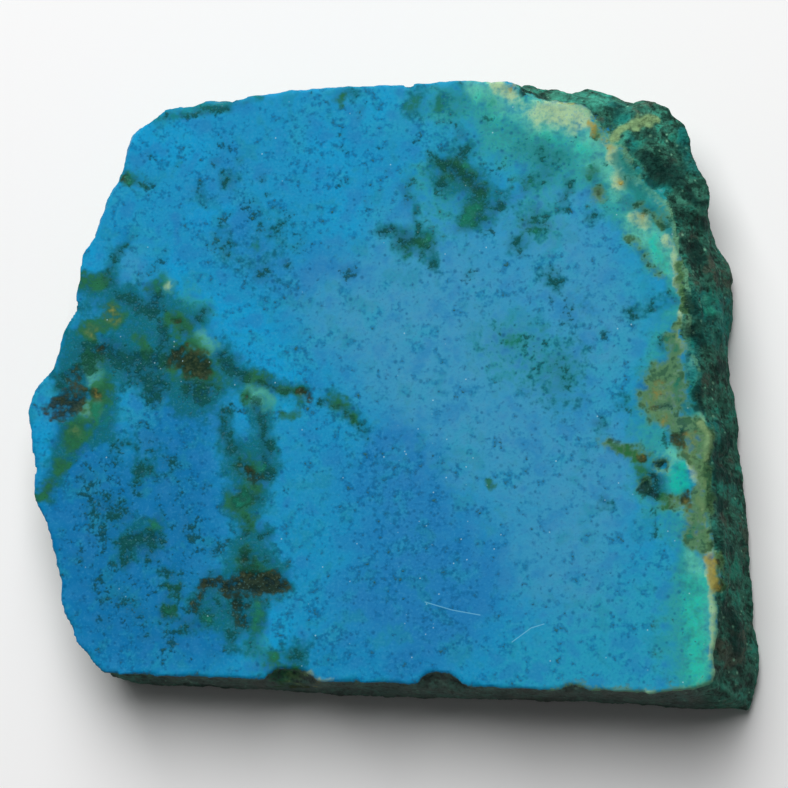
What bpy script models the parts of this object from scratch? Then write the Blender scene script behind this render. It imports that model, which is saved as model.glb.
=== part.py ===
"""A rough slab of turquoise, one piece of stone.

Its top is a sawn, half-polished face that leans a little, because the slab is thicker in the east. Its sides
are broken rind, lumpy and chipped, with a wide sloping shoulder at the north-east corner. Its underside is a
flat sawn cut, which it lies on. East is +X, north is +Y, and the origin is the middle of the box's floor.
"""
import math

import bmesh
import bpy
from mathutils import Vector, noise

MM = 0.001  # lengths below are in millimetres

# The sawn face is the plane z = FACE_HEIGHT + FACE_RISE_EAST * x + FACE_RISE_NORTH * y.
FACE_HEIGHT = 8.7
FACE_RISE_EAST = 0.072
FACE_RISE_NORTH = 0.008
WAIST_SHARE = 0.6  # height of the sides' waist, as a share of the face's height above it
FOOT_HEIGHT = 0.9  # where the sides turn in to the underside
UNDERSIDE_INSET = 0.45  # how far the flat underside stops short of the foot

# The slab's plan at three heights, counterclockwise from the south-west corner. Each outline has five edges,
# and an edge ends at the corner where the next one starts.
RIM = {
    "south": [(-20.6, -19.8), (-18.6, -20.1), (-14.0, -20.3), (-8.6, -20.7), (-3.2, -21.0), (2.4, -21.2),
              (6.6, -21.5), (9.5, -21.8), (12.7, -21.9), (15.6, -22.0), (19.3, -22.3), (21.3, -22.1),
              (22.6, -21.9), (23.4, -21.4)],
    "east": [(23.4, -21.4), (23.7, -20.9), (23.8, -17.2), (23.8, -16.1), (23.5, -15.3), (24.1, -14.3),
             (23.9, -13.1), (23.4, -12.0), (23.2, -9.3), (23.1, -6.0), (23.5, -4.8), (23.5, -3.9),
             (22.9, -2.5), (22.5, -1.0), (22.8, 0.6), (22.4, 1.4), (21.9, 2.7), (21.9, 4.9), (21.5, 6.9),
             (21.1, 9.6), (20.7, 11.0), (20.7, 12.3)],
    "shoulder": [(20.7, 12.3), (19.7, 13.4), (18.6, 14.2), (17.7, 14.9), (17.1, 16.6), (16.3, 17.5),
                 (15.6, 18.7), (14.9, 19.6), (14.3, 20.3), (13.5, 20.6), (11.0, 20.8), (10.2, 21.2),
                 (9.7, 21.7), (9.1, 22.3)],
    "north": [(9.1, 22.3), (7.6, 22.4), (6.4, 22.6), (4.1, 22.5), (3.0, 22.4), (-2.9, 22.5), (-4.8, 22.4),
              (-7.6, 22.3), (-10.2, 22.1), (-11.9, 21.8), (-13.2, 21.6), (-16.2, 21.3), (-17.3, 20.4)],
    "west": [(-17.3, 20.4), (-17.9, 20.0), (-18.8, 18.9), (-19.2, 17.4), (-19.8, 15.9), (-21.0, 13.5),
             (-21.5, 11.8), (-22.4, 10.7), (-22.6, 9.0), (-22.7, 7.6), (-23.1, 6.4), (-23.9, 5.0),
             (-24.1, 3.7), (-24.5, 2.6), (-25.3, 1.6), (-26.2, 0.4), (-26.4, -0.4), (-26.2, -1.9),
             (-25.7, -5.0), (-25.8, -6.9), (-24.9, -8.6), (-24.4, -10.2), (-23.9, -12.2), (-23.7, -14.7),
             (-23.4, -15.6), (-22.4, -17.6), (-21.6, -18.5), (-21.3, -19.1), (-20.6, -19.8)],
}
WAIST = {
    "south": [(-20.3, -19.5), (-14.0, -20.2), (-8.0, -20.8), (-2.0, -20.9), (4.0, -21.4), (10.0, -21.6),
              (16.0, -22.1), (21.0, -22.2), (24.5, -22.2)],
    "east": [(24.5, -22.2), (25.1, -19.0), (24.9, -14.5), (24.9, -11.0), (24.3, -7.0), (24.3, -3.5),
             (23.8, 0.5), (24.0, 4.0), (23.6, 8.0), (23.0, 12.0), (23.0, 13.9)],
    "shoulder": [(23.0, 13.9), (23.0, 15.2), (22.6, 16.4), (22.1, 18.0), (21.7, 19.3), (20.7, 20.3),
                 (19.7, 20.7), (18.8, 20.6), (16.6, 21.3), (14.9, 21.8), (12.3, 22.1), (9.7, 22.3)],
    "north": [(9.7, 22.3), (6.0, 22.3), (2.0, 22.0), (-3.0, 22.1), (-7.0, 21.6), (-10.0, 21.5),
              (-12.6, 21.8), (-15.6, 21.3), (-16.7, 20.8), (-17.4, 20.1)],
    "west": [(-17.4, 20.1), (-18.8, 18.0), (-19.9, 15.4), (-21.6, 11.8), (-22.4, 8.3), (-22.7, 5.6),
             (-23.6, 3.0), (-25.6, 0.8), (-25.8, -1.3), (-25.2, -5.0), (-25.0, -7.2), (-23.8, -11.2),
             (-23.2, -14.6), (-21.6, -17.6), (-20.3, -19.5)],
}
FOOT = {
    "south": [(-20.4, -19.5), (-19.4, -20.0), (-17.6, -20.2), (-11.9, -20.5), (-4.2, -21.0),
              (5.0, -21.4), (14.7, -21.8),
              (22.6, -22.5), (25.6, -22.6)],
    "east": [(25.6, -22.6), (26.2, -20.4), (26.3, -18.9), (25.9, -16.0), (25.9, -12.5), (25.6, -9.0),
             (25.2, -5.0), (24.9, -1.1), (24.4, 3.0), (24.6, 6.5), (24.3, 10.0), (23.4, 11.8),
             (22.8, 13.6)],
    "shoulder": [(22.8, 13.6), (22.0, 16.6), (20.8, 18.8), (18.4, 20.4), (15.0, 21.2), (9.8, 22.0)],
    "north": [(9.8, 22.0), (4.0, 21.8), (-2.0, 22.2), (-8.0, 21.6), (-13.0, 21.8), (-16.8, 20.4)],
    "west": [(-16.8, 20.4), (-18.8, 17.6), (-20.2, 14.0), (-22.4, 10.0), (-23.0, 6.2), (-25.2, 1.8),
             (-25.8, -1.6), (-25.0, -6.8), (-23.4, -11.6), (-23.2, -14.8), (-21.6, -18.0),
             (-20.4, -19.5)],
}

STATION_STEP = 0.74  # spacing of the stations round the sides
RINGS_TO_WAIST = 7
RINGS_TO_FOOT = 6
SHOULDER_BULGE = 1.5  # over 1, the sides stay high near the rim and then drop

# The roughness of the sides. Lumps have a size and a height, fractures are flat-sided breaks with a size and
# a slope, and each knob is a place, a radius and a height, which is negative for a hollow.
LUMPS = [(7.0, 0.32), (1.5, 0.12)]
FRACTURES = [(5.2, 0.32), (2.3, 0.28)]
FRACTURE_EDGE = 0.3  # how far from a break's border it flattens out, as a share of its size
EDGE_ROUGHNESS = {"south": 0.3, "east": 0.65, "shoulder": 0.8, "north": 1.0, "west": 0.85}
FOOT_ROUGHNESS = 0.6  # share of it that is left near the underside
LEDGES = {"north": (4.4, 0.75), "west": (3.1, 0.55)}  # height of a ledge, and the undercut below it
LEDGE_WANDER = 1.6  # how far a ledge rises and falls
LEDGE_LENGTH = 5.0  # over what length
KNOBS = [
    (19.6, 16.6, 9.0, 2.0, 0.75),  # the dark knob on the shoulder
    (21.9, 16.4, 7.5, 1.5, 0.35),
    (17.0, 19.2, 9.0, 1.6, -0.45),  # the hollow beside it, under the orange streak
    (18.6, 19.6, 8.2, 1.5, 0.45),
    (21.2, 13.2, 8.8, 1.5, -0.45),
    (24.2, 6.0, 2.5, 2.8, 0.45),
    (24.4, -2.5, 5.5, 2.2, -0.35),
    (-22.0, 10.0, 3.0, 2.6, 0.30),
    (-24.8, -6.0, 2.4, 2.4, 0.30),
]
RIM_WEAR = 0.07  # how far the rim wanders from its outline

# Chips and pits: place on the plan, depth of the chip's middle below the face, half sizes along x, y and z,
# and the turn of its long side from east.
RIM_CHIPS = [
    (4.2, -22.3, 0.1, 2.0, 1.9, 1.7, 4),  # the wide notch in the south rim
    (13.7, -22.2, 0.0, 1.0, 0.75, 0.8, 0),  # the small notch east of it
    (-7.0, -21.5, 0.3, 2.2, 1.7, 1.5, 8),  # the break at the brown lump
    (-13.5, 23.5, -0.9, 4.6, 2.9, 1.9, 11),  # the long spall at the north-west corner
    (-29.2, 4.6, 3.4, 3.6, 5.0, 2.8, 0),  # the spalls below the rim
    (-28.6, -13.2, 6.6, 4.6, 5.2, 3.4, 12),
    (-22.6, 21.8, 5.6, 4.6, 3.4, 3.2, -42),
    (1.5, 27.2, 7.0, 6.5, 4.6, 3.6, 2),
    (15.4, 26.4, 9.4, 5.6, 4.6, 3.2, -10),
    (29.6, 2.4, 8.6, 5.2, 5.0, 3.4, 0),
    (-15.2, -24.4, 6.4, 6.4, 4.3, 2.6, 0),
]
PITS = [
    (20.1, -6.0, 0.0, 0.62, 0.42, 0.55, 15),  # the two small hollows with crystals in them
    (18.9, -7.3, 0.0, 0.50, 0.40, 0.45, 60),
    (19.4, -9.6, -0.1, 0.20, 1.00, 0.45, 8),  # the dark crack south of them
]

STONE_BLUE = (0.035, 0.30, 0.52, 1.0)
STONE_ROUGHNESS = 0.55


def face_height(x, y):
    return FACE_HEIGHT + FACE_RISE_EAST * x + FACE_RISE_NORTH * y


def along(points, share):
    """The point this share of the way along a line of points."""
    lengths = [math.dist(a, b) for a, b in zip(points, points[1:])]
    left = share * sum(lengths)
    for a, b, length in zip(points, points[1:], lengths):
        if left <= length:
            return Vector(a).lerp(Vector(b), left / length)
        left -= length
    return Vector(points[-1])


def edge_length(points):
    return sum(math.dist(a, b) for a, b in zip(points, points[1:]))


def stations():
    """Each station round the slab: its edge, and its rim, waist and foot points, with the corners matched."""
    for edge, rim in RIM.items():
        count = round(edge_length(rim) / STATION_STEP)
        for step in range(count):
            share = step / count
            yield edge, (along(rim, share), along(WAIST[edge], share), along(FOOT[edge], share))


def side_profile(rim, waist, foot):
    """The points down one side, from the rim to the edge of the underside."""
    top = face_height(*rim)
    middle = face_height(*waist) * WAIST_SHARE
    profile = []
    for step in range(RINGS_TO_WAIST):
        share = step / RINGS_TO_WAIST
        place = rim.lerp(waist, share)
        profile.append(Vector((place.x, place.y, top - (top - middle) * share**SHOULDER_BULGE)))
    for step in range(RINGS_TO_FOOT + 1):
        share = step / RINGS_TO_FOOT
        place = waist.lerp(foot, share)
        profile.append(Vector((place.x, place.y, middle - (middle - FOOT_HEIGHT) * share)))
    inner = foot - foot.normalized() * UNDERSIDE_INSET
    profile.append(Vector((inner.x, inner.y, 0.0)))
    return profile


def loft(bm):
    """Joins the stations' profiles into the sides, and closes them with the face and the underside."""
    columns = []
    edges = []
    for edge, points in stations():
        columns.append([bm.verts.new(point) for point in side_profile(*points)])
        edges.append(edge)
    for left, right in zip(columns, columns[1:] + columns[:1]):
        for row in range(len(left) - 1):
            bm.faces.new((left[row], left[row + 1], right[row + 1], right[row]))
    bm.faces.new([column[0] for column in columns])
    bm.faces.new([column[-1] for column in reversed(columns)])
    return columns, edges


def fracture(point, size, slope):
    """The height of a break: a plane leaning its own way in each of the stone's grains of this size."""
    distances, grains = noise.voronoi(point / size)
    grain = grains[0] * size
    lean = noise.noise_vector(grain).normalized()
    fade = min(1.0, (distances[1] - distances[0]) / FRACTURE_EDGE)
    return slope * fade * (point - grain).dot(lean)


def knob(point, x, y, z, radius, rise):
    away = (point - Vector((x, y, z))).length / radius
    return rise * math.cos(away * math.pi / 2) ** 2 if away < 1 else 0.0


def undercut(edge, point):
    """How far the rind is cut back under this edge's ledge, in millimetres."""
    if edge not in LEDGES:
        return 0.0
    height, depth = LEDGES[edge]
    on_plan = Vector((point.x, point.y, 0.0))
    height += LEDGE_WANDER * noise.noise(on_plan / LEDGE_LENGTH)
    return depth if point.z < height else 0.0


def roughness_at(point):
    """How far the rind stands out here, in millimetres."""
    height = sum(depth * noise.noise(point / size) for size, depth in LUMPS)
    height += sum(fracture(point, size, slope) for size, slope in FRACTURES)
    return height + sum(knob(point, *shape) for shape in KNOBS)


def roughen_sides(bm, columns, edges):
    """Moves the sides in and out, but the rim stays on the face and the underside stays on the floor."""
    bm.normal_update()
    moves = []
    for column, edge in zip(columns, edges):
        last = len(column) - 1
        for row, vert in enumerate(column):
            rise = EDGE_ROUGHNESS[edge] * roughness_at(vert.co) - undercut(edge, vert.co)
            if row > RINGS_TO_WAIST + 1:
                rise *= FOOT_ROUGHNESS
            flat = Vector((vert.normal.x, vert.normal.y, 0.0)).normalized()
            if row == 0:
                moves.append((vert, flat * RIM_WEAR * noise.noise(vert.co * 1.7)))
            elif row == last:
                moves.append((vert, flat * rise))
            else:
                moves.append((vert, vert.normal * min(1.0, row / 2.5) * rise))
    for vert, move in moves:
        vert.co += move
    for column in columns:
        column[0].co.z = face_height(column[0].co.x, column[0].co.y)


def new_object(name, bm):
    bm.normal_update()
    mesh = bpy.data.meshes.new(name)
    bm.to_mesh(mesh)
    bm.free()
    made = bpy.data.objects.new(name, mesh)
    bpy.context.collection.objects.link(made)
    return made


def make_slab():
    bm = bmesh.new()
    columns, edges = loft(bm)
    roughen_sides(bm, columns, edges)
    bmesh.ops.triangulate(bm, faces=[face for face in bm.faces if len(face.verts) == 4])
    bmesh.ops.scale(bm, vec=(MM, MM, MM), verts=bm.verts)
    return new_object("turquoise_slab", bm)


def make_chisel(name, chips, detail, unevenness):
    """One cutter of lumpy balls, one for each chip."""
    bm = bmesh.new()
    for x, y, depth, half_x, half_y, half_z, turn in chips:
        ball = bmesh.ops.create_icosphere(bm, subdivisions=detail, radius=1.0)["verts"]
        middle = Vector((x, y, face_height(x, y) - depth))
        angle = math.radians(turn)
        for vert in ball:
            swell = 1.0 + unevenness * noise.noise(vert.co * 1.6 + middle)
            wide, deep = vert.co.x * half_x * swell, vert.co.y * half_y * swell
            vert.co = middle + Vector((
                wide * math.cos(angle) - deep * math.sin(angle),
                wide * math.sin(angle) + deep * math.cos(angle),
                vert.co.z * half_z * swell,
            ))
    bmesh.ops.scale(bm, vec=(MM, MM, MM), verts=bm.verts)
    chisel = new_object(name, bm)
    chisel.hide_render = True
    chisel.display_type = "WIRE"
    return chisel


def cut(slab, chisel):
    boolean = slab.modifiers.new(chisel.name, "BOOLEAN")
    boolean.operation = "DIFFERENCE"
    boolean.solver = "EXACT"
    boolean.object = chisel


def stone_material():
    material = bpy.data.materials.new("turquoise")
    material.use_nodes = True
    shader = material.node_tree.nodes["Principled BSDF"]
    shader.inputs["Base Color"].default_value = STONE_BLUE
    shader.inputs["Roughness"].default_value = STONE_ROUGHNESS
    shader.inputs["Metallic"].default_value = 0.0
    return material


for existing in list(bpy.data.objects):
    bpy.data.objects.remove(existing, do_unlink=True)

turquoise_slab = make_slab()
turquoise_slab.data.materials.append(stone_material())
cut(turquoise_slab, make_chisel("rim_chisel", RIM_CHIPS, 3, 0.35))
cut(turquoise_slab, make_chisel("pit_chisel", PITS, 2, 0.25))
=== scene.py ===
"""The looks of the rough turquoise slab: its fine surface, its markings, and a plain pale studio.

Lengths are in millimetres unless a name says otherwise. East is +X and north is +Y, and in the picture north
is up. Markings are brush strokes whose places are picture points, across and down from the top left corner.
"""
import math

import bmesh
import bpy
import numpy as np
from mathutils import Matrix, Vector, noise
from mathutils.kdtree import KDTree


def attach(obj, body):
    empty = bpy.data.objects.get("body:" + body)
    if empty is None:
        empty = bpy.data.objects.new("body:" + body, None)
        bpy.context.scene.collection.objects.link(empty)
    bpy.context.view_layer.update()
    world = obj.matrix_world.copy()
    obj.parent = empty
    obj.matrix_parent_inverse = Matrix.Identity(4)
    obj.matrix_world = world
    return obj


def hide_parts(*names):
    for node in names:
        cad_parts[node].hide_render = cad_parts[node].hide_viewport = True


MM = 0.001

# The camera looks down on the face from a little east and south.
PICTURE = 788  # points across and down the picture
LOOK_AT = Vector((0.75, -0.25, 8.75))
CAMERA_DISTANCE = 420.0
LEAN_EAST = math.radians(7.5)
LEAN_SOUTH = math.radians(9.5)
FOCAL_POINTS = 5843.0  # focal length in picture points

# The studio. The light's numbers are in metres and watts.
FLOOR_SIDE = 2400.0
FLOOR_DROP = 0.01  # how far the floor lies under the stone
FLOOR_PALENESS = 0.91
SKY_STRENGTH = 0.08
LIGHT_WAY = (-0.11, 0.67, 0.88)  # direction from the stone to the light
LIGHT_DISTANCE = 0.60
LIGHT_SIZE = (0.45, 0.78)
LIGHT_POWER = 5.45

# The sawn face is the plane z = FACE_HEIGHT + FACE_RISE_EAST * x + FACE_RISE_NORTH * y.
FACE_HEIGHT = 8.7
FACE_RISE_EAST = 0.072
FACE_RISE_NORTH = 0.008

# The fine mesh. Depths are measured straight down from the plane of the sawn face.
GRAIN_SIZE = 0.21  # spacing of its points
WELD = 0.002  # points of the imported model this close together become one
FLAT_LIMIT = 0.001  # faces lower than this are the underside's
FACE_TOLERANCE = 0.08  # points this near the face's plane lie on the face
FLOOR_TOLERANCE = 0.12  # and points this low lie on the underside
UPRIGHT = 0.8  # if their normals also point up, or down, at least this much
MELT_STEPS = [0.6, -0.62] * 5  # moves to and from the neighbours' mean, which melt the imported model's facets
GRAINS = [(1.30, 0.03), (0.62, 0.05), (0.34, 0.055)]  # size and height of the rind's lumps
BREAKS = [(1.7, 0.05), (0.8, 0.10)]  # size and slope of its small flat-sided fractures
BREAK_EDGE = 0.25  # share of a fracture's size over which it flattens out
LEAN_SCATTER = 3.7  # sets the fractures' leans apart from each other
RIM_FADE = 0.45  # depth at which the rind reaches its full roughness
FOOT_FADE = (0.1, 0.7)  # heights over which the roughness comes in above the underside
RIM_RAG = [(0.9, 0.035), (0.4, 0.045)]  # size and width of the rim's small nicks
RAG_FADE = (0.3, 0.9)  # depths between which the nicks fade out
PIT_SIZE = 0.55  # of the pits in the veins
PIT_LEVEL = 0.5  # where their noise is under this the face is sunk
VEIN_LIMIT = 0.05  # points less deep than this count as the face's once the sides are rough
VEIN_DEPTHS = {"grains": 0.06, "brown": 0.10, "black": 0.06, "khaki": 0.03}  # how deep, by the vein's paint

# Stretches of the outline that are let out (or taken in, where negative) to follow the photo's: how far, and
# the picture points where the stretch starts and ends.
OUTLINE_SHIFTS = [
    # the north
    (0.15, (160, 114), (200, 105)),
    (0.15, (350, 87), (440, 83)),
    (0.20, (522, 87), (528, 87)),
    (-0.35, (556, 92), (563, 92)),
    (0.35, (623, 100), (631, 102)),
    (0.15, (678, 118), (694, 153)),
    # the east
    (-0.35, (702, 178), (702, 186)),
    (0.15, (708, 210), (710, 216)),
    (-0.15, (720, 246), (722, 256)),
    (0.20, (731, 280), (733, 302)),
    (-0.12, (732, 348), (732, 370)),
    (-0.20, (738, 420), (745, 488)),
    (-0.20, (750, 535), (752, 556)),
    (-0.35, (753, 582), (753, 612)),
    # the west
    (0.20, (110, 674), (80, 642)),
    (0.25, (67, 618), (55, 548)),
    (0.20, (50, 528), (34, 452)),
    (0.35, (78, 304), (78, 298)),
    (0.12, (84, 256), (94, 242)),
]
SHIFT_REACH = 14.0  # how far round a stretch its shift is felt, in picture points

# How the markings lie.
NOISE_SEED = 2  # fixes the noise vectors, which would otherwise change from run to run
WARPS = [(1.9, 0.38), (0.7, 0.32)]  # size and width of the wander in the markings' borders
STROKE_REACH = 1.85  # where a brush stroke has faded out, in its half widths
SPREAD = {"stain": 1.3, "olive": 1.35, "mint": 1.4, "cream": 1.3,
          "ochre": 1.3, "leaf": 1.3, "teal": 1.2, "khaki": 1.25}  # these paints reach so many times further
AWAY = (-0.1, 0.15)  # a side that faces the camera less than this counts as hidden, and from this on as seen
FOOT_CLEAR = 0.3  # the markings fade out below this height
MARGIN_WIDTH = 0.35  # of the pale margin along the rim
MARGIN_DEPTH = 0.3  # the margin is painted on points less deep than this
MARGIN_EAST = (8.0, 16.0)  # it comes in between these places east of the middle
RIND_START = 0.12  # depth at which the rind starts on the sides that the photo shows
HIDDEN_WAY = (-0.62, 0.78)  # the way that the other sides face, in plan
HIDDEN_DROP = 1.6  # there it starts this much lower on the whole
HIDDEN_SWING = 2.4  # and goes up and down by this
HIDDEN_WAVE = 3.5  # in waves of this size
HIDDEN_LEAST = 0.3  # but is never less than this much lower

# The blue ground and the paints that strokes lay on it, as the eye sees them: red, green and blue up to 255.
PAINT = {
    "blue": (24, 138, 185),
    "bright": (8, 146, 198),
    "deep": (8, 108, 164),
    # A painted reflection of the lamp: a lighter, greyer blue on the face.
    "painted_sheen": (62, 145, 181),
    "turquoise": (38, 150, 178),
    "violet": (32, 116, 174),
    "sea": (48, 148, 140),
    "mint": (92, 184, 158),
    "jade": (20, 172, 152),
    "cream": (158, 188, 142),
    "stain": (12, 96, 102),
    "teal": (24, 112, 108),
    "olive": (38, 98, 56),
    "khaki": (84, 124, 80),
    "brown": (34, 46, 36),
    "ochre": (142, 132, 66),
    "leaf": (28, 110, 92),
    # The lichen green is the stone's own, but at a notch in the south rim it is painted light that offsets the
    # notch's shade.
    "lichen_and_painted_light": (118, 150, 104),
    # The patina green is the stone's own, but on the south-east corner it is painted light that offsets that
    # corner's shade.
    "patina_and_painted_light": (66, 150, 128),
    "black": (16, 44, 42),
}

# The colours that the shader's own patterns add.
TINTS = {
    "lagoon": (26, 130, 150),
    # A lighter grey-blue mottling, faint all over and partly painted sheen.
    "dust_and_sheen": (84, 152, 186),
    "fleck": (8, 76, 118),
    "pale grit": (70, 156, 196),
    "grain": (8, 52, 58),
    "moss": (20, 64, 50),
    "dusk": (22, 82, 92),
    # Painted highlights: pale specks where light catches the dark grains.
    "grain_glint": (96, 156, 156),
    "dark khaki": (52, 84, 54),
    "pale khaki": (110, 140, 104),
    "dark brown": (20, 30, 26),
    "pale brown": (66, 70, 48),
    "margin": (104, 156, 120),
    "rind": (36, 70, 60),
    "light rind": (44, 88, 74),
    "green rind": (36, 112, 96),
    "brown rind": (58, 56, 48),
    "dark rind": (18, 40, 34),
    "deep rind": (20, 48, 40),
    "rind fleck": (112, 164, 136),
    # Painted shade where the rind's bump is lowest.
    "rind pit shade": (16, 34, 30),
    "south rind": (60, 66, 64),
    "hair": (112, 184, 214),
    # Painted white highlights.
    "glint": (170, 212, 224),
}
RIND_SHADE = 1.72  # how much lighter the rind's colours are made, because its grains shade each other
SQUEEZE = 0.5  # heights count for this share in the shader's patterns, which draws them out up and down
# Light and dark clouds lie over the rind and these paints.
CLOUDED = ["sea", "mint", "jade", "cream", "khaki", "olive", "stain", "teal", "leaf", "ochre"]

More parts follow.
